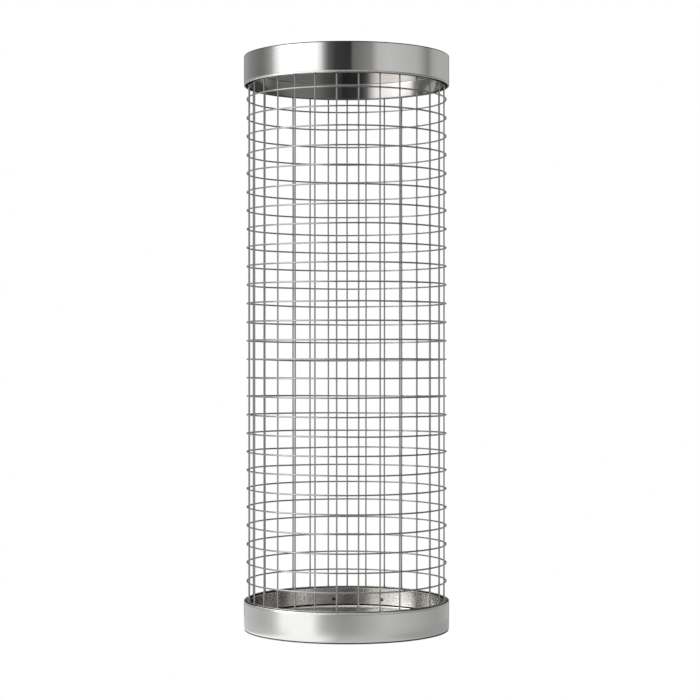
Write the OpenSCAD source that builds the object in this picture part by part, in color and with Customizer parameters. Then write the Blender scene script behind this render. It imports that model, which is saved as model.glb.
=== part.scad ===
// Umbrella stand: an open cylinder of welded steel wire between two satin steel bands,
// with a weighted base and a loose drip tray that lifts out through the top.
// Millimetres. Origin on the floor, on the stand's own axis. +Z is up, -Y is the front.
// Angles around the stand are counted from the front, positive towards +X.

/* [Stand] */
// Overall height, floor to upper rim
stand_h = 550; // [450:5:620]
// Outside diameter of both bands
band_d = 197.4; // [180:0.2:220]

/* [Bands] */
// Height of the upper band, and of the lower band measured from the floor
band_h = 28.4; // [24:0.2:40]
// Sheet thickness of the bands
band_wall = 1.2; // [0.8:0.1:1.4]
// Height of the rolled bead on each band's mesh side
bead_h = 1.6; // [1.4:0.1:2.4]
// Radius of the fine groove that sets the bead off from the band's face
groove_r = 0.3; // [0.1:0.05:0.5]
// Outer radius of the lower band's bottom edge, which is rolled inwards
roll_r = 2.4; // [2:0.1:2.5]
// Thickness of the hem folded inside the upper rim, sheet included
hem_wall = 2.2; // [2:0.1:2.6]
// Depth of that hem, down from the upper rim
hem_h = 12.5; // [6:0.5:12.5]

/* [Retaining rings] */
// Radial room between band and retaining ring, where the wire ends are held
channel_w = 4; // [3.8:0.1:5]
// Sheet thickness of the retaining rings
ring_wall = 1; // [0.8:0.1:1.2]
// Height of the upper retaining ring
upper_ring_h = 15.2; // [12:0.2:16]
// Height of the lower retaining ring
lower_ring_h = 16.4; // [12:0.2:18]

/* [Wire mesh] */
// Wire diameter of rings and uprights
wire_d = 1.5; // [1.2:0.1:1.6]
// Depth to which a ring wire is sunk into each upright by its resistance weld
weld_sink = 0.2; // [0.05:0.05:0.3]
// Number of ring wires
ring_count = 29; // [20:1:29]
// Number of uprights
upright_count = 29; // [25:1:29]
// Angle between neighbouring uprights; what is left over is the gap at the seam
upright_step = 12.3; // [11.9:0.05:12.4]
// Angle of the first upright past the seam, from the front
first_upright = -103.9; // [-180:0.1:180]
// Most by which an upright in the back half stands off its even spacing, in degrees
back_spread = 3; // [0:0.1:3]
// Turn of the rearmost uprights past their even spacing, in degrees
back_turn = 0.7; // [0:0.1:1]

/* [Base] */
// Height by which the rubber foot stands below the lower band
foot_gap = 0.5; // [0.4:0.1:1.5]
// Height of the rubber foot ring
foot_h = 3.6; // [3:0.2:4]
// Radial width of the rubber foot ring
foot_w = 7.2; // [5:0.2:10]
// Thickness of the base plate
plate_t = 1.2; // [1:0.1:1.6]
// Diameter of the steel ballast disc
ballast_d = 172; // [140:2:176]
// Thickness of the steel ballast disc
ballast_t = 3.6; // [3:0.1:3.8]
// Number of screws that hold the ballast disc
screw_count = 4; // [3:1:6]
// Thread diameter of those screws
screw_d = 4; // [3:0.5:5]

/* [Drip tray] */
// Sheet thickness of the tray
tray_t = 0.8; // [0.6:0.1:1]
// Height of the tray, rim included
tray_h = 1.8; // [1.4:0.1:2.4]
// Clearance between the tray and the lower retaining ring
tray_gap = 1; // [0.9:0.1:1.4]

/* [Rivets] */
// Height of the two rivets above the floor
rivet_z = 16.5; // [15:0.5:22]
// Angles of the two rivets, from the front
rivet_angles = [157.8, 188.2];
// Shank diameter of the rivets
rivet_d = 2.2; // [1.6:0.1:2.6]

/* [Hidden] */
round_fn = 96;
wire_fn = 24;
clearance = 0.1;
overshoot = 0.2;
band_r = band_d / 2;
band_inner_r = band_r - band_wall;
ring_outer_r = band_inner_r - channel_w;
ring_inner_r = ring_outer_r - ring_wall;
upper_band_z = stand_h - band_h;
upper_ring_z = upper_band_z + 0.3;
lower_ring_top = band_h - 0.6;
lower_ring_z = lower_ring_top - lower_ring_h;
upright_r = ring_outer_r + wire_d / 2;
ring_wire_r = upright_r + wire_d - weld_sink;
upright_z = lower_ring_z + ring_wall;
upright_top = upper_ring_z + upper_ring_h - ring_wall;
first_wire_z = band_h + 0.3;
last_wire_z = upper_band_z + 5.2;
wire_pitch = (last_wire_z - first_wire_z) / (ring_count - 1);
foot_inner_r = band_r - 0.5 - foot_w;
plate_z = foot_h;
ballast_z = plate_z + plate_t;
screw_circle_r = ballast_d / 2 - 22;
screw_head_d = 2 * screw_d;
screw_head_h = 0.5 * screw_d;
screw_l = plate_t + ballast_t - 0.6;
tray_z = ballast_z + ballast_t + clearance;
tray_r = ring_inner_r - tray_gap;
rivet_head_d = 1.7 * rivet_d;
rivet_head_h = 0.6;
rivet_seat = ring_inner_r + clearance / 10 - sqrt(pow(ring_inner_r, 2) - pow(rivet_head_d / 2, 2));
uprights_per_node = 2;
upright_groups = ceil(upright_count / uprights_per_node);

function two_digits(i) = str(i < 10 ? "0" : "", i);
function wire_name(i) = str("ring_wire_", two_digits(i));
function upright_name(i) = str("uprights_", two_digits(i));
function wire_z(i) = first_wire_z + (i - 1) * wire_pitch;

// Even spacing in the front half; at the back the mesh was sprung sideways to close its seam.
function sprung(angle, behind) = angle + back_spread * sin(angle) * sqrt(behind) + back_turn * behind;
function even_angle(k) = first_upright + k * upright_step;
function upright_angle(k) = sprung(even_angle(k), max(0, -cos(even_angle(k))));

// A place at a radius and an angle from the front, with the local +X axis pointing outwards.
module at_angle(radius, angle, z) {
    rotate([0, 0, angle - 90])
        translate([radius, 0, z])
            children();
}

// Section of a band's wall, from z = start up to the rolled bead at z = height.
module band_section(start, height) {
    bead_r = bead_h / 2;
    difference() {
        union() {
            translate([band_inner_r, start])
                square([band_wall, height - start - bead_r]);
            translate([band_r - bead_r, height - bead_r])
                circle(r = bead_r, $fn = wire_fn);
        }
        translate([band_r, height - bead_h - groove_r / 2])
            circle(r = groove_r, $fn = wire_fn);
    }
}

// Section of a retaining ring: an upright wall with a flange at z = 0 that closes the channel.
module ring_section(height) {
    translate([ring_inner_r, 0])
        square([ring_wall, height]);
    translate([ring_inner_r, 0])
        square([ring_wall + channel_w, ring_wall]);
}

// Lower edge of the bottom band, rolled inwards through a quarter turn.
module rolled_edge() {
    intersection() {
        translate([band_r - roll_r, 0])
            square(roll_r);
        translate([band_r - roll_r, roll_r])
            difference() {
                circle(r = roll_r, $fn = round_fn);
                circle(r = roll_r - band_wall, $fn = round_fn);
            }
    }
}

// Hem folded inside the upper rim, with a rounded top.
module hem_section() {
    hem_r = hem_wall / 2;
    translate([band_r - hem_wall, hem_r])
        square([hem_wall, hem_h - hem_r]);
    translate([band_r - hem_r, hem_r])
        circle(r = hem_r, $fn = wire_fn);
}

module top_band() {
    color("#c9c8c5")
        translate([0, 0, stand_h])
            mirror([0, 0, 1])
                rotate_extrude($fn = round_fn)
                    difference() {
                        union() {
                            band_section(hem_wall / 2, band_h);
                            hem_section();
                        }
                        translate([band_r - hem_wall / 2, 0])
                            difference() {
                                square([hem_wall / 2, hem_wall / 2]);
                                translate([0, hem_wall / 2])
                                    circle(d = hem_wall, $fn = wire_fn);
                            }
                    }
}

module bottom_band() {
    color("#c9c8c5")
        translate([0, 0, foot_gap])
            rotate_extrude($fn = round_fn) {
                band_section(roll_r, band_h - foot_gap);
                rolled_edge();
            }
}

module top_retaining_ring() {
    color("#a9a7a3")
        translate([0, 0, upper_ring_z + upper_ring_h])
            mirror([0, 0, 1])
                rotate_extrude($fn = round_fn)
                    ring_section(upper_ring_h);
}

module bottom_retaining_ring() {
    color("#a9a7a3")
        difference() {
            translate([0, 0, lower_ring_z])
                rotate_extrude($fn = round_fn)
                    ring_section(lower_ring_h);
            for (angle = rivet_angles)
                at_angle(ring_inner_r - overshoot, angle, rivet_z)
                    rotate([0, 90, 0])
                        cylinder(d = rivet_d, h = ring_wall + 2 * overshoot, $fn = wire_fn);
        }
}

// Two rivets across the channel. Their flat heads rest on the ring's hollow inner face.
module ring_rivets() {
    shank_l = rivet_seat + ring_wall + channel_w - clearance;
    color("#6d6b68")
        for (angle = rivet_angles)
            at_angle(ring_inner_r - rivet_seat, angle, rivet_z)
                rotate([0, 90, 0]) {
                    cylinder(d = rivet_d, h = shank_l, $fn = wire_fn);
                    translate([0, 0, -rivet_head_h])
                        cylinder(d1 = rivet_d, d2 = rivet_head_d, h = rivet_head_h, $fn = wire_fn);
                }
}

module ring_wire(i) {
    color("#b8b7b4")
        translate([0, 0, wire_z(i)])
            rotate_extrude($fn = round_fn)
                translate([ring_wire_r, 0])
                    circle(d = wire_d, $fn = wire_fn);
}

module uprights(group) {
    first = (group - 1) * uprights_per_node;
    last = min(first + uprights_per_node, upright_count) - 1;
    color("#b0afac")
        for (k = [first:last])
            at_angle(upright_r, upright_angle(k), upright_z)
                cylinder(d = wire_d, h = upright_top - upright_z, $fn = wire_fn);
}

module at_screws() {
    for (k = [0:screw_count - 1])
        at_angle(screw_circle_r, (k + 0.5) * 360 / screw_count, 0)
            children();
}

module base_plate() {
    color("#9c9a96")
        difference() {
            translate([0, 0, plate_z])
                cylinder(r = band_inner_r, h = plate_t, $fn = round_fn);
            at_screws()
                translate([0, 0, plate_z - overshoot])
                    cylinder(d = screw_d + 4 * clearance, h = plate_t + 2 * overshoot, $fn = wire_fn);
        }
}

module ballast_disc() {
    color("#3c3b39")
        difference() {
            translate([0, 0, ballast_z])
                cylinder(d = ballast_d, h = ballast_t, $fn = round_fn);
            at_screws()
                translate([0, 0, ballast_z - overshoot])
                    cylinder(d = screw_d, h = ballast_t + 2 * overshoot, $fn = wire_fn);
        }
}

// Pan-head screws driven up through the base plate into the ballast disc.
module ballast_screws() {
    color("#8e8c88")
        at_screws() {
            translate([0, 0, plate_z - screw_head_h])
                cylinder(d = screw_head_d, h = screw_head_h, $fn = wire_fn);
            translate([0, 0, plate_z - overshoot])
                cylinder(d = screw_d, h = screw_l + overshoot, $fn = wire_fn);
        }
}

// Rubber ring under the base plate, with a lip under the lower band's edge.
module foot_ring() {
    color("#2b2b2b")
        rotate_extrude($fn = round_fn) {
            translate([foot_inner_r, 0])
                square([foot_w, foot_gap]);
            translate([foot_inner_r, 0])
                square([band_r - roll_r - foot_inner_r, foot_h]);
        }
}

module drip_tray() {
    color("#bdbbb7")
        translate([0, 0, tray_z])
            rotate_extrude($fn = round_fn) {
                square([tray_r, tray_t]);
                translate([tray_r - tray_t, 0])
                    square([tray_t, tray_h - tray_t / 2]);
                translate([tray_r - tray_t / 2, tray_h - tray_t / 2])
                    circle(d = tray_t, $fn = wire_fn);
            }
}

top_band();
top_retaining_ring();
bottom_band();
bottom_retaining_ring();
ring_rivets();
base_plate();
ballast_disc();
ballast_screws();
foot_ring();
drip_tray();
for (i = [1:ring_count])
    ring_wire(i);
for (i = [1:upright_groups])
    uprights(i);
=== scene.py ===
"""Looks of the umbrella stand: a cylinder of welded steel wire between two satin steel bands.

Metres, in the CAD's own frame: +Z up, the front towards -Y. Angles around the stand are counted
from the front, positive towards +X. Each finer mesh stands for one CAD node."""
import math

import bmesh
import bpy
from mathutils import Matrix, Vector, noise


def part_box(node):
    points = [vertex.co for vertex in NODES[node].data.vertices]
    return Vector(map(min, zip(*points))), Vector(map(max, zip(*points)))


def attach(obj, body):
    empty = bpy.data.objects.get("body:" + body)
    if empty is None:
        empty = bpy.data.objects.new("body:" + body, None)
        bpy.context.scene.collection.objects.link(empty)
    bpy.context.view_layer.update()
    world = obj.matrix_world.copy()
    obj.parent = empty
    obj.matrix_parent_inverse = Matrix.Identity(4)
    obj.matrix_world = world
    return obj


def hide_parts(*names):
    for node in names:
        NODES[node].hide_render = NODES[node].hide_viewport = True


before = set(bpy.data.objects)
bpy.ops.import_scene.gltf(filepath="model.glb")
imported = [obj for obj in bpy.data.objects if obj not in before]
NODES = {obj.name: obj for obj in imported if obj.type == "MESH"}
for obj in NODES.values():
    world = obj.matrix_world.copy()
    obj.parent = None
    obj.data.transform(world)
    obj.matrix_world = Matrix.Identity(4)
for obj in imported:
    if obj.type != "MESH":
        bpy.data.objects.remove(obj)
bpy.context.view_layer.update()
MM = 0.001

# ---------------------------------------------------------------- sizes, from the frame
TOP_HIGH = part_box("top_band")[1]
BAND_R = TOP_HIGH.x
STAND_H = TOP_HIGH.z
RING_NODES = sorted(name for name in NODES if name.startswith("ring_wire_"))
UPRIGHT_NODES = sorted(name for name in NODES if name.startswith("uprights_"))
WIRE_LOW, WIRE_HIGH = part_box(RING_NODES[0])
WIRE_R = (WIRE_HIGH.z - WIRE_LOW.z) / 2
RING_R = WIRE_HIGH.x - WIRE_R
RING_HEIGHTS = [sum(corner.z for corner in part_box(name)) / 2 for name in RING_NODES]

# ---------------------------------------------------------------- sizes shared with the CAD
BAND_WALL = 1.2 * MM
BEAD_R = 0.8 * MM
GROOVE_R = 0.3 * MM
HEM_WALL = 2.2 * MM
HEM_H = 12.5 * MM
ROLL_R = 2.4 * MM
CHANNEL_W = 4.0 * MM
RING_WALL = 1.0 * MM
WELD_SINK = 0.2 * MM
FOOT_W = 7.2 * MM
TRAY_T = 0.8 * MM

# ---------------------------------------------------------------- details only the looks have
ROUND = 384              # segments of a turned piece
STUDIO_ROUND = 96        # segments of the studio's turned surfaces
HOLD = 0.25 * MM         # a point this close to a bend keeps the shading of the flat beside it flat
CRISP_R = 0.1 * MM       # fillet of a crisp edge
SOFT_R = 0.4 * MM        # fillet of a softened edge
HEM_LEAN = 0.9 * MM      # by which the hem leans in from the rim to its lower edge
RING_LEAN = 0.8 * MM     # by which the upper inner ring leans in towards its free edge
WIRE_SIDES = 12          # corners of a wire's section
WELD_SPREAD = 0.8 * MM   # reach of a weld's shaping along a wire
HOOP_WAVE = 0.5 * MM     # most by which a hoop's level wanders
ROD_WAVE = 0.25 * MM     # most by which an upright strays sideways
END_H = 0.25 * MM        # height of an upright's rounded end
DROP = 2.6 * MM          # most by which a hoop has slipped down at the back
DROP_Z = 250 * MM        # height at which that happens
DROP_SPREAD = 85 * MM    # distance over which it fades above and below


# ---------------------------------------------------------------- mesh helpers
def new_object(name, mesh_data, material):
    """A smooth-shaded object from (vertices, faces)."""
    vertices, faces = mesh_data
    mesh = bpy.data.meshes.new(name)
    mesh.from_pydata(vertices, [], faces)
    mesh.validate()
    bm = bmesh.new()
    bm.from_mesh(mesh)
    bmesh.ops.recalc_face_normals(bm, faces=bm.faces)
    bm.to_mesh(mesh)
    bm.free()
    mesh.shade_smooth()
    mesh.set_sharp_from_angle(angle=math.radians(40))
    mesh.materials.append(material)
    obj = bpy.data.objects.new(name, mesh)
    bpy.context.scene.collection.objects.link(obj)
    return obj


def arc(centre, radius, start, end, steps):
    """Points of an arc in the (radius, height) plane; angles in degrees."""
    turns = [math.radians(start + (end - start) * k / steps) for k in range(steps + 1)]
    return [(centre[0] + radius * math.cos(t), centre[1] + radius * math.sin(t)) for t in turns]


def filleted(corners, steps=5):
    """A closed outline from (r, z, fillet radius) corners, with a holding point beside each fillet."""
    points = []
    for k, (r, z, fillet) in enumerate(corners):
        here = Vector((r, z))
        back = Vector(corners[k - 1][:2]) - here
        ahead = Vector(corners[(k + 1) % len(corners)][:2]) - here
        reach = min(fillet, 0.49 * back.length, 0.49 * ahead.length)
        start = here + back.normalized() * reach
        end = here + ahead.normalized() * reach
        before = start + back.normalized() * min(HOLD, 0.3 * (back.length - reach))
        after = end + ahead.normalized() * min(HOLD, 0.3 * (ahead.length - reach))
        points.append(tuple(before))
        for step in range(steps + 1):
            t = step / steps
            points.append(tuple(start * (1 - t) ** 2 + here * 2 * t * (1 - t) + end * t ** 2))
        points.append(tuple(after))
    return points


def around(turn, profile):
    """The points of a profile of (r, z), turned about the stand's axis."""
    return [(r * math.sin(turn), -r * math.cos(turn), z) for r, z in profile]


def lathe(outline):
    """Turns a closed outline of (r, z) points about the stand's axis."""
    vertices, faces = [], []
    count = len(outline)
    for k in range(ROUND):
        vertices += around(2 * math.pi * k / ROUND, outline)
        a, b = k * count, (k + 1) % ROUND * count
        faces += [(a + i, a + (i + 1) % count, b + (i + 1) % count, b + i) for i in range(count)]
    return vertices, faces


def disc_lathe(outline, segments):
    """Turns an open outline that starts and ends on the axis into a closed solid."""
    profile = outline[1:-1]
    count = len(profile)
    last = 1 + segments * count
    vertices, faces = [(0, 0, outline[0][1])], []
    for k in range(segments):
        vertices += around(2 * math.pi * k / segments, profile)
        a, b = 1 + k * count, 1 + (k + 1) % segments * count
        faces += [(a + i, a + i + 1, b + i + 1, b + i) for i in range(count - 1)]
        faces += [(0, a, b), (last, b + count - 1, a + count - 1)]
    vertices.append((0, 0, outline[-1][1]))
    return vertices, faces


def tube(rings, closed):
    """Joins rings of points, each a cross-section, into a tube, either closed or with flat ends."""
    sides = len(rings[0])
    vertices = [point for ring in rings for point in ring]
    faces = []
    for k in range(len(rings) if closed else len(rings) - 1):
        a, b = k * sides, (k + 1) % len(rings) * sides
        faces += [(a + i, a + (i + 1) % sides, b + (i + 1) % sides, b + i) for i in range(sides)]
    if not closed:
        faces.append(tuple(range(sides)))
        faces.append(tuple(reversed(range(len(vertices) - sides, len(vertices)))))
    return vertices, faces


def place(radius, angle, z):
    """The point at a radius, at an angle from the front in radians, and at a height."""
    return Vector((radius * math.sin(angle), -radius * math.cos(angle), z))


# ---------------------------------------------------------------- node helpers
class Tree:
    """Shorthand for building a node tree, which starts empty."""

    def __init__(self, tree):
        self.nodes = tree.nodes
        self.links = tree.links
        self.nodes.clear()

    def add(self, kind, **settings):
        """A new node with its settings."""
        node = self.nodes.new(kind)
        for key, value in settings.items():
            setattr(node, key, value)
        return node

    def feed(self, node, **inputs):
        """Sets or links inputs by name or, as i0, i1 and so on, by place."""
        for key, value in inputs.items():
            number = key[1:]
            socket = node.inputs[int(number) if key[0] == "i" and number.isdigit() else key]
            if isinstance(value, bpy.types.NodeSocket):
                self.links.new(value, socket)
            else:
                socket.default_value = value

    def math(self, operation, *values):
        node = self.add("ShaderNodeMath", operation=operation)
        self.feed(node, **{f"i{k}": value for k, value in enumerate(values)})
        return node.outputs[0]

    def ramp(self, value, stops):
        """A colour ramp from (position, grey or colour) stops."""
        node = self.add("ShaderNodeValToRGB")
        elements = node.color_ramp.elements
        while len(elements) < len(stops):
            elements.new(1.0)
        for element, (position, shade) in zip(elements, stops):
            element.position = position
            element.color = (*shade, 1) if isinstance(shade, tuple) else (shade, shade, shade, 1)
        self.links.new(value, node.inputs[0])
        return node.outputs[0]

    def noise(self, vector, scale, detail):
        node = self.add("ShaderNodeTexNoise")
        self.feed(node, Vector=vector, Scale=scale, Detail=detail)
        return node.outputs["Fac"]

    def blend(self, share, first, second):
        """A mix of two colours by a share from 0 to 1."""
        node = self.add("ShaderNodeMix", data_type="RGBA")
        self.feed(node, i0=share, i6=first, i7=second)
        return node.outputs[2]

    def mapped(self, value, low, high, to_low, to_high):
        """A value carried from one range to another."""
        node = self.add("ShaderNodeMapRange")
        self.feed(node, i0=value, i1=low, i2=high, i3=to_low, i4=to_high)
        return node.outputs[0]

    def split(self, coordinates):
        """The x, y and z of one output of the texture coordinates."""
        source = self.add("ShaderNodeTexCoord")
        node = self.add("ShaderNodeSeparateXYZ")
        self.links.new(source.outputs[coordinates], node.inputs[0])
        return node.outputs


def shaded(name, shader_kind):
    """A new material that has only a shader and its output: (material, tree, shader)."""
    material = bpy.data.materials.new(name)
    material.use_nodes = True
    tree = Tree(material.node_tree)
    out = tree.add("ShaderNodeOutputMaterial")
    shader = tree.add(shader_kind)
    tree.links.new(shader.outputs[0], out.inputs[0])
    return material, tree, shader


def vary(tree, shader, pattern, colour, colour_share, roughness, roughness_share):
    """Lets a noise pattern vary colour and roughness, by a share down and up."""
    low, high = 0.3, 0.7
    dark = tuple(c * (1 - colour_share) for c in colour)
    light = tuple(min(1, c * (1 + colour_share)) for c in colour)
    tree.links.new(tree.ramp(pattern, [(low, dark), (high, light)]), shader.inputs["Base Color"])
    rough = tree.mapped(pattern, low, high, roughness * (1 - roughness_share),
                        roughness * (1 + roughness_share))
    tree.links.new(rough, shader.inputs["Roughness"])


def bumped(tree, shader, height, strength, distance):
    """Gives the shader a bump from a height pattern."""
    bump = tree.add("ShaderNodeBump")
    tree.feed(bump, Strength=strength, Distance=distance, Height=height)
    tree.links.new(bump.outputs[0], shader.inputs["Normal"])


def hairlines(tree, turns, pitches, detail):
    """Noise squeezed into lines that run around the stand's axis."""
    x, y, z = tree.split("Object")
    squares = tree.math("ADD", tree.math("MULTIPLY", x, x), tree.math("MULTIPLY", y, y))
    radius = tree.math("MAXIMUM", tree.math("SQRT", squares), 1e-5)
    join = tree.add("ShaderNodeCombineXYZ")
    tree.feed(join, i0=tree.math("MULTIPLY", tree.math("DIVIDE", x, radius), turns),
              i1=tree.math("MULTIPLY", tree.math("DIVIDE", y, radius), turns),
              i2=tree.math("MULTIPLY", z, pitches))
    return tree.noise(join.outputs[0], 1.0, detail)


def steel(name, colour, roughness, anisotropy, contrast, streak=0.35):
    """Satin steel with fine hairlines around the stand's axis, and broader streaks among them."""
    material, tree, shader = shaded(name, "ShaderNodeBsdfPrincipled")
    fine = hairlines(tree, 7.0, 2600.0, 3.0)
    broad = hairlines(tree, 2.1, 312.0, 2.0)
    mixed = tree.math("ADD", tree.math("MULTIPLY", fine, 1 - streak),
                      tree.math("MULTIPLY", broad, streak))
    vary(tree, shader, mixed, colour, contrast, roughness, 0.08)
    shader.inputs["Metallic"].default_value = 1.0
    if anisotropy:
        shader.inputs["Anisotropic"].default_value = anisotropy
        shader.inputs["Anisotropic Rotation"].default_value = 0.25
        tangent = tree.add("ShaderNodeTangent", direction_type="RADIAL", axis="Z")
        tree.links.new(tangent.outputs[0], shader.inputs["Tangent"])
    bumped(tree, shader, fine, 0.05, 0.02 * MM)
    return material


def plain(name, colour, roughness, metallic, grain_scale, contrast, bump_depth=0.0):
    """A material whose colour and roughness vary with a three-dimensional grain."""
    material, tree, shader = shaded(name, "ShaderNodeBsdfPrincipled")
    source = tree.add("ShaderNodeTexCoord")
    grain = tree.noise(source.outputs["Object"], grain_scale, 4.0)
    vary(tree, shader, grain, colour, contrast, roughness, 0.15)
    shader.inputs["Metallic"].default_value = metallic
    if bump_depth:
        bumped(tree, shader, grain, 0.4, bump_depth)
    return material


# Steel: colour, roughness, anisotropy, contrast of the hairlines
SATIN = steel("satin_steel", (0.66, 0.66, 0.65), 0.125, 0.95, 0.03)
# painted shade: the upper inner ring is darker than the same ring at the foot, for the shade inside the
# upper band
UPPER_RING_SHADE_STEEL = steel("upper_ring_painted_shade", (0.345, 0.339, 0.332), 0.125, 0.9, 0.07, streak=0.6)
# painted shade: the bands' inner faces get a darker steel than their outer faces, for the shade inside
# the stand
INTERIOR_SHADE_STEEL = steel("lining_steel_painted_shade", (0.255, 0.243, 0.229), 0.115, 0.9, 0.16, streak=0.7)
# painted dark reflection: near-black steel on the rounded top rim, for the dark line it shows
RIM_DARK_REFLECTION_STEEL = steel("rim_steel_painted_dark_reflection", (0.04, 0.04, 0.039), 0.2, 0.9, 0.07)
BASE_STEEL = steel("base_steel", (0.64, 0.625, 0.60), 0.19, 0.95, 0.04, streak=0.5)
TRAY = steel("tray_steel", (0.84, 0.82, 0.795), 0.2, 0.0, 0.03)
# Others: colour, roughness, metallic, scale of the grain, its contrast, depth of its bump
WIRE = plain("wire_steel", (0.345, 0.345, 0.341), 0.15, 1.0, 900, 0.08)
PLATE = plain("plate_steel", (0.45, 0.45, 0.44), 0.4, 1.0, 300, 0.12)
BALLAST = plain("ballast_paint", (0.03, 0.03, 0.03), 0.55, 0.0, 800, 0.2, 0.05 * MM)
ZINC = plain("screw_zinc", (0.6, 0.61, 0.62), 0.35, 1.0, 1500, 0.1)
# painted shade: the rivets are near-black all over, for the shade in their hollow centres
RIVET_SHADE_STEEL = plain("rivet_steel", (0.07, 0.068, 0.065), 0.5, 1.0, 1500, 0.15)
RUBBER = plain("foot_rubber", (0.2, 0.2, 0.197), 0.7, 0.0, 1200, 0.25, 0.05 * MM)


def finish_piece(piece, body, node):
    """Lets a piece ride and stand for the CAD node it replaces."""
    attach(piece, body)
    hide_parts(node)


# ---------------------------------------------------------------- bands
def bead_outline(lip):
    """The rolled bead, the groove beside it and the start of the band's face, as (r, s)."""
    corner_s = lip + 0.34 * MM
    points = arc((BAND_R - BEAD_R, BEAD_R), BEAD_R, 140, 390, 22)
    points += arc((BAND_R, lip), GROOVE_R, 215, 140, 6)
    points += arc((BAND_R - CRISP_R, corner_s), CRISP_R, -50, 0, 3)
    return points + [(BAND_R, corner_s + HOLD)]


def hem_outline(height):
    """The rim and the hem folded inside it, which leans in, as (r, s) down to the band's inner face."""
    inner = BAND_R - BAND_WALL
    hem_r = BAND_R - HEM_WALL
    hem_edge = height - HEM_H
    fold_s = hem_edge + SOFT_R
    turn_r = (HEM_WALL - HEM_LEAN) / 2
    points = [(BAND_R, height - turn_r - HOLD)]
    points += arc((BAND_R - turn_r, height - turn_r), turn_r, 0, 180, 14)
    points += [(hem_r + HEM_LEAN, height - turn_r - HOLD), (hem_r, fold_s + HOLD), (hem_r, fold_s)]
    points += arc((hem_r + SOFT_R, fold_s), SOFT_R, 180, 270, 5)[1:]
    return points + [(inner, hem_edge), (inner, hem_edge - HOLD)]


def roll_outline(height):
    """The edge rolled inwards through a quarter turn, as (r, s)."""
    roll = (BAND_R - ROLL_R, height - ROLL_R)
    points = [(BAND_R, height - ROLL_R - HOLD)]
    points += arc(roll, ROLL_R, 0, 90, 12)
    points += arc(roll, ROLL_R - BAND_WALL, 90, 0, 8)
    return points + [(BAND_R - BAND_WALL, height - ROLL_R - HOLD)]


def build_band(name, node, towards, edge_outline):
    """A band shell, laid out from its bead in the direction towards, +1 up or -1 down.

    Its inner face takes a darker steel, painted shade of the stand's interior, and the upper rim a
    near-black steel, a painted dark reflection."""
    low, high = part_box(node)
    bead_z = low.z if towards > 0 else high.z
    inner = BAND_R - BAND_WALL
    lip = 2 * BEAD_R
    section = bead_outline(lip) + edge_outline(high.z - low.z) + [(inner, lip + HOLD), (inner, lip)]
    piece = new_object(name, lathe([(r, bead_z + towards * s) for r, s in section]), SATIN)
    piece.data.materials.append(INTERIOR_SHADE_STEEL)
    piece.data.materials.append(RIM_DARK_REFLECTION_STEEL)
    rim_z = STAND_H - (HEM_WALL - HEM_LEAN) / 2 - HOLD
    for face in piece.data.polygons:
        outward = face.normal.x * face.center.x + face.normal.y * face.center.y
        # the top rim's faces: painted dark reflection
        if face.center.z > rim_z and (outward > 0 or face.normal.z > 0.2):
            face.material_index = 2
        # the inner face: painted shade
        elif outward < 0 and face.center.xy.length < inner + CRISP_R:
            face.material_index = 1
    finish_piece(piece, "stand", node)


def build_retaining_ring(name, node, towards, lean, material):
    """An inner ring: a flange that closes the channel, and a wall that may lean in to its free edge."""
    low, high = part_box(node)
    flange_z = low.z if towards > 0 else high.z
    height = high.z - low.z
    outer = high.x
    inner = outer - CHANNEL_W - RING_WALL
    corners = [(inner, 0, 0.5 * MM), (outer, 0, CRISP_R), (outer, RING_WALL, CRISP_R),
               (inner + RING_WALL, RING_WALL, 0.3 * MM),
               (inner + RING_WALL - lean, height, SOFT_R), (inner - lean, height, SOFT_R)]
    outline = [(r, flange_z + towards * s) for r, s in filleted(corners)]
    finish_piece(new_object(name, lathe(outline), material), "stand", node)


# ---------------------------------------------------------------- wire mesh
def upright_places():
    """(node, angle from the front) of every upright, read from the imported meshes."""
    one_rod = 4 * MM         # vertices closer together than this belong to one upright
    places = []
    for name in UPRIGHT_NODES:
        groups = []
        for vertex in NODES[name].data.vertices:
            spot = vertex.co.xy
            near = [group for group in groups if (group[0] - spot).length < one_rod]
            if near:
                near[0].append(spot)
            else:
                groups.append([spot])
        for group in groups:
            centre = sum(group, Vector((0, 0))) / len(group)
            places.append((name, math.atan2(centre.x, -centre.y)))
    return places


UPRIGHTS = upright_places()
UPRIGHT_ANGLES = sorted(angle for _, angle in UPRIGHTS)


def nearest_crossing(angle):
    """Angular distance to the nearest upright."""
    return min(abs((angle - a + math.pi) % (2 * math.pi) - math.pi) for a in UPRIGHT_ANGLES)


def ring_stations():
    """Angles around a ring wire, closer together at its welds."""
    at_weld = [s * MM / RING_R for s in (-1.4, -0.9, -0.45, 0.0, 0.45, 0.9, 1.4)]
    clear = 1.9 * MM / RING_R    # from a weld to the even stations between two uprights
    spans = 8
    stations = []
    for k, angle in enumerate(UPRIGHT_ANGLES):
        after = UPRIGHT_ANGLES[(k + 1) % len(UPRIGHT_ANGLES)]
        free = (after - angle) % (2 * math.pi) - 2 * clear
        stations += [angle + turn for turn in at_weld]
        stations += [angle + clear + free * j / spans for j in range(spans + 1)]
    return stations


STATIONS = ring_stations()


def hoop_drop(z, angle):
    """How far a hoop has slipped down at the back before it was welded; most near mid-height."""
    behind = (0.5 - 0.5 * math.cos(angle)) ** 2
    return DROP * behind * math.exp(-((z - DROP_Z) / DROP_SPREAD) ** 2)


def weld_share(distance):
    """How much a weld shapes a wire at a distance from it, from 1 down to 0."""
    return math.exp(-(distance / WELD_SPREAD) ** 2)


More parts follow.
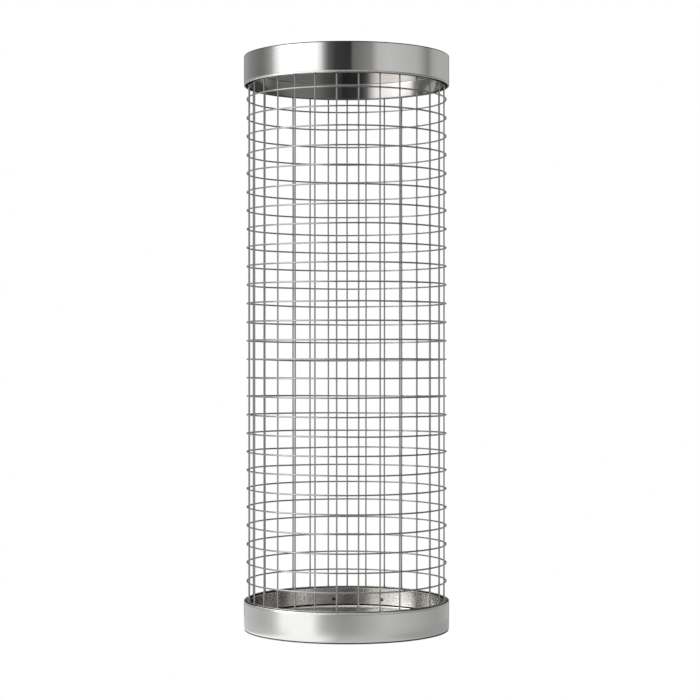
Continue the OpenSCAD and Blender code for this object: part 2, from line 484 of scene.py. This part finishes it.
def ring_wire(number, z):
    """One ring wire: a slightly uneven hoop, pressed into the upright where it is welded."""
    rings = []
    for angle in STATIONS:
        weld = weld_share(nearest_crossing(angle) * RING_R)
        here = Vector((math.sin(angle), -math.cos(angle), 0))
        wave = noise.noise(here * 1.1 + Vector((0, 0, number * 7.3)))
        level = z + HOOP_WAVE * wave - hoop_drop(z, angle)
        section = []
        for side in range(WIRE_SIDES):
            turn = 2 * math.pi * side / WIRE_SIDES
            bulge = 0.3 if math.cos(turn) < 0 else -0.12
            out = math.cos(turn) * WIRE_R * (1 + bulge * weld)
            up = math.sin(turn) * WIRE_R * (1 + 0.15 * weld)
            section.append(place(RING_R + out, angle, level + up))
        rings.append(section)
    return tube(rings, True)


def build_rings():
    for number, (node, z) in enumerate(zip(RING_NODES, RING_HEIGHTS)):
        piece = new_object(f"hoop_{number + 1:02d}", ring_wire(number, z), WIRE)
        finish_piece(piece, "stand", node)


def upright_wire(number, angle, low, high):
    """One upright: a nearly straight drawn wire, its ends rounded by the shear."""
    crossings = [z - hoop_drop(z, angle) for z in RING_HEIGHTS]
    heights = [low, low + END_H]
    for z in crossings:
        heights += [z + s * MM for s in (-5.5, -1.8, -0.8, 0, 0.8, 1.8, 5.5)]
    heights = sorted(h for h in heights if low <= h < high - END_H) + [high - END_H, high]
    radius = RING_R + WELD_SINK - 2 * WIRE_R
    aside = Vector((math.cos(angle), math.sin(angle), 0))
    rings = []
    for z in heights:
        weld = sum(weld_share(z - ring) for ring in crossings)
        bow = ROD_WAVE * noise.noise(Vector((number * 3.7, 0, z * 6)))
        end = 0.75 if z in (low, high) else 1.0
        section = []
        for side in range(WIRE_SIDES):
            turn = 2 * math.pi * side / WIRE_SIDES
            out = math.cos(turn) * WIRE_R * (1 - 0.08 * weld) * end
            along = math.sin(turn) * WIRE_R * (1 + 0.12 * weld) * end + bow
            section.append(place(radius + out, angle, z) + aside * along)
        rings.append(section)
    return tube(rings, False)


def build_uprights():
    for node in UPRIGHT_NODES:
        low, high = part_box(node)
        vertices, faces = [], []
        for number, (owner, angle) in enumerate(UPRIGHTS):
            if owner == node:
                more, sheets = upright_wire(number, angle, low.z, high.z)
                faces += [tuple(i + len(vertices) for i in face) for face in sheets]
                vertices += more
        piece = new_object(node.replace("uprights", "rods"), (vertices, faces), WIRE)
        finish_piece(piece, "stand", node)


# ---------------------------------------------------------------- base
def build_tray():
    """The drip tray: a flat pan with a low rim, its edge rolled to a round bead."""
    low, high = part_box("drip_tray")
    r, bend, roll = high.x, 1.2 * MM, TRAY_T / 2
    top, wall = low.z + TRAY_T, high.x - TRAY_T
    outline = [(0, low.z), (0.5 * r, low.z), (r - 2 * MM, low.z), (r - bend, low.z)]
    outline += arc((r - bend, low.z + bend), bend, -90, -30, 6)[1:]
    outline += [(r, high.z - roll)]
    outline += arc((r - roll, high.z - roll), roll, 0, 180, 8)[1:]
    outline += [(wall - 0.1 * MM, top + 0.35 * MM), (wall - 0.6 * MM, top + 0.05 * MM)]
    outline += [(wall - 1.4 * MM, top), (wall - 2 * MM, top)]
    outline += [(0.6 * r, top), (0.3 * r, top), (0, top)]
    piece = new_object("drip_pan", disc_lathe(outline, ROUND), TRAY)
    finish_piece(piece, "tray", "drip_tray")


def build_foot():
    """The rubber foot ring, stepped so that the lower band's rolled edge sits on it."""
    low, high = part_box("foot_ring")
    band_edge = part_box("bottom_band")[0].z
    inner, shoulder = high.x - FOOT_W, BAND_R - ROLL_R
    corners = [(inner, low.z, SOFT_R), (high.x, low.z, 0.35 * MM), (high.x, band_edge, CRISP_R),
               (shoulder, band_edge, CRISP_R), (shoulder, high.z, CRISP_R),
               (inner, high.z, CRISP_R)]
    piece = new_object("rubber_foot", lathe(filleted(corners)), RUBBER)
    finish_piece(piece, "stand", "foot_ring")


def dress_cad_nodes():
    """Materials for the CAD nodes whose shape stays."""
    for node, material in (("base_plate", PLATE), ("ballast_disc", BALLAST),
                           ("ballast_screws", ZINC), ("ring_rivets", RIVET_SHADE_STEEL)):
        slots = NODES[node].data.materials
        slots.clear()
        slots.append(material)


# ---------------------------------------------------------------- studio
def build_cyclorama():
    """A white floor and wall that only the camera sees; the steel sees the world's soft light."""
    wall_r, cove_r, height = 7.0, 1.5, 8.0
    floor_z = -0.2 * MM      # just below the foot's underside, so that the two never share a plane
    outline = [(0, floor_z), (wall_r - cove_r, floor_z)]
    outline += arc((wall_r - cove_r, cove_r + floor_z), cove_r, -90, 0, 12)[1:]
    outline += [(wall_r, height), (0, height)]
    material, tree, glow = shaded("studio_white", "ShaderNodeEmission")
    tree.feed(glow, Color=(1, 1, 1, 1), Strength=1.0)
    white = new_object("studio_floor", disc_lathe(outline, STUDIO_ROUND), material)
    white.visible_glossy = False
    white.visible_diffuse = False
    white.visible_shadow = False


def build_table():
    """A glowing stand-in for the table top close to the foot, with a painted pool of light from the
    left; only the steel sees it.
    """
    table_r, underside, top = 150 * MM, -1 * MM, -0.5 * MM
    outline = [(0, underside), (table_r, underside), (table_r, top), (0, top)]
    material, tree, glow = shaded("table_glow_painted_light", "ShaderNodeEmission")
    x, _, _ = tree.split("Object")
    # painted light: the table's glow is brighter in a band towards the left
    shade = tree.ramp(tree.mapped(x, -table_r, table_r, 0.0, 1.0), [
        (0.0, 0.49), (0.14, 0.50), (0.19, 0.93), (0.38, 0.96), (0.46, 0.52), (0.67, 0.49),
        (0.8, 0.32), (1.0, 0.30)])
    tree.feed(glow, Color=shade, Strength=1.4)
    table = new_object("table_stand_in_painted_light", disc_lathe(outline, STUDIO_ROUND), material)
    table.visible_camera = False
    table.visible_shadow = False


# The studio's radiance by (azimuth in degrees, radiance) stops, one ramp for each zone of height
SOFTBOX = 5.0
FLOOR_LIGHT = [
    (-180, 0.2), (-150, 1.0), (-120, 1.2), (-36, 1.4), (-24, 0.4), (-10, 0.15), (40, 0.15),
    (80, 0.30), (130, 0.30), (180, 0.2)]
LOWER_LIGHT = [
    (-180, 0.2), (-168, 0.35), (-158, 0.67), (-135, 0.66), (-108, 0.60), (-92, 0.70), (-84, 0.95),
    (-79, 1.2), (-74, 1.35), (-40, 1.35), (-36, 1.15), (-31, 0.8), (-26, 0.62), (-20, 0.54),
    (-4, 0.46), (9, 0.47), (18, 0.55), (32, 0.62), (47, 0.69), (73, 0.6), (118, 0.45), (150, 0.52),
    (160, 0.5), (170, 0.3), (180, 0.2)]
UPPER_LIGHT = [
    (-180, 0.15), (-168, 0.25), (-158, 0.43), (-126, 0.26), (-112, 0.19), (-105, 0.21),
    (-92, 0.38), (-85, 0.6), (-80, 0.95), (-75, 1.45), (-34, 1.5), (-28, 1.1), (-24, 0.45),
    (-20, 0.13), (-12, 0.01), (5, 0.01), (6.5, 0.2), (27, 0.37), (35, 0.8), (47, 0.88), (84, 0.69),
    (102, 0.31), (112, 0.54), (125, 0.59), (158, 0.5), (168, 0.25), (180, 0.15)]
MIDDLE_LIGHT = [
    (-180, 0.2), (-125, 0.4), (-100, 0.5), (-92, 1.2), (-86, 4.4), (-38, 4.4), (-32, 2.4),
    (-26, 0.3), (-20, 0.12), (-8, 0.13), (4, 0.08), (18, 0.10), (24, 0.18), (31, 0.22), (85, 0.2),
    (105, 0.25), (150, 0.35), (180, 0.2)]
RIM_LIGHT = [
    (-180, 0.2), (-140, 0.35), (-110, 0.38), (-98, 0.8), (-93, 2.6), (-88, 5.0), (-64, 4.6),
    (-57, 2.0), (-50, 0.7), (-38, 0.25), (-26, 0.08), (0, 0.05), (20, 0.05), (28, 0.16), (44, 0.06),
    (68, 0.03), (90, 0.03), (104, 0.2), (125, 0.35), (180, 0.2)]
HIGH_LIGHT = [
    (-180, 1.3), (-150, 1.5), (-60, 1.8), (-30, 1.6), (-18, 0.6), (-6, 0.13), (30, 0.09),
    (170, 0.10), (180, 0.3)]
ZENITH_LIGHT = [(-180, 1.3), (180, 1.3)]
# (height at which a zone begins to show, height from which it is all that shows, its stops)
ZONES = [(-0.45, -0.25, LOWER_LIGHT), (-0.06, 0.02, UPPER_LIGHT), (0.205, 0.225, MIDDLE_LIGHT),
         (0.27, 0.29, RIM_LIGHT), (0.42, 0.48, HIGH_LIGHT), (0.75, 0.85, ZENITH_LIGHT)]


def by_azimuth(tree, turn, stops):
    """A ramp of the stops of one zone, as a share of the softbox."""
    return tree.ramp(turn, [((angle + 180) / 360, level / SOFTBOX) for angle, level in stops])


def build_world():
    """Soft studio light, given by direction: zones of height, each with its ramp around."""
    world = bpy.data.worlds.new("studio")
    bpy.context.scene.world = world
    world.use_nodes = True
    tree = Tree(world.node_tree)
    out = tree.add("ShaderNodeOutputWorld")
    background = tree.add("ShaderNodeBackground")
    tree.links.new(background.outputs[0], out.inputs[0])
    x, y, z = tree.split("Generated")
    azimuth = tree.math("ARCTAN2", x, tree.math("MULTIPLY", y, -1.0))
    turn = tree.mapped(azimuth, -math.pi, math.pi, 0.0, 1.0)
    shade = by_azimuth(tree, turn, FLOOR_LIGHT)
    for begin, full, stops in ZONES:
        share = tree.mapped(z, begin, full, 0.0, 1.0)
        shade = tree.blend(share, shade, by_azimuth(tree, turn, stops))
    tree.feed(background, Color=shade, Strength=SOFTBOX)


def build_camera():
    """A level view from the front through a long lens."""
    camera_data = bpy.data.cameras.new("camera")
    camera = bpy.data.objects.new("camera", camera_data)
    bpy.context.scene.collection.objects.link(camera)
    camera_data.sensor_width = 36
    camera_data.lens = 97.0
    camera_data.clip_end = 50
    aside, distance, eye_z = 3.3 * MM, 18.4 * BAND_R, STAND_H * 0.4878
    camera.location = (aside, -distance, eye_z)
    camera.rotation_euler = (math.pi / 2, 0, 0)
    bpy.context.scene.camera = camera


bpy.context.scene.view_settings.view_transform = "Standard"
build_band("upper_band_shell", "top_band", 1, hem_outline)
build_band("lower_band_shell", "bottom_band", -1, roll_outline)
build_retaining_ring("upper_wire_channel", "top_retaining_ring", -1, RING_LEAN, UPPER_RING_SHADE_STEEL)
build_retaining_ring("lower_wire_channel", "bottom_retaining_ring", 1, 0, BASE_STEEL)
build_rings()
build_uprights()
build_tray()
build_foot()
dress_cad_nodes()
build_cyclorama()
build_table()
build_world()
build_camera()
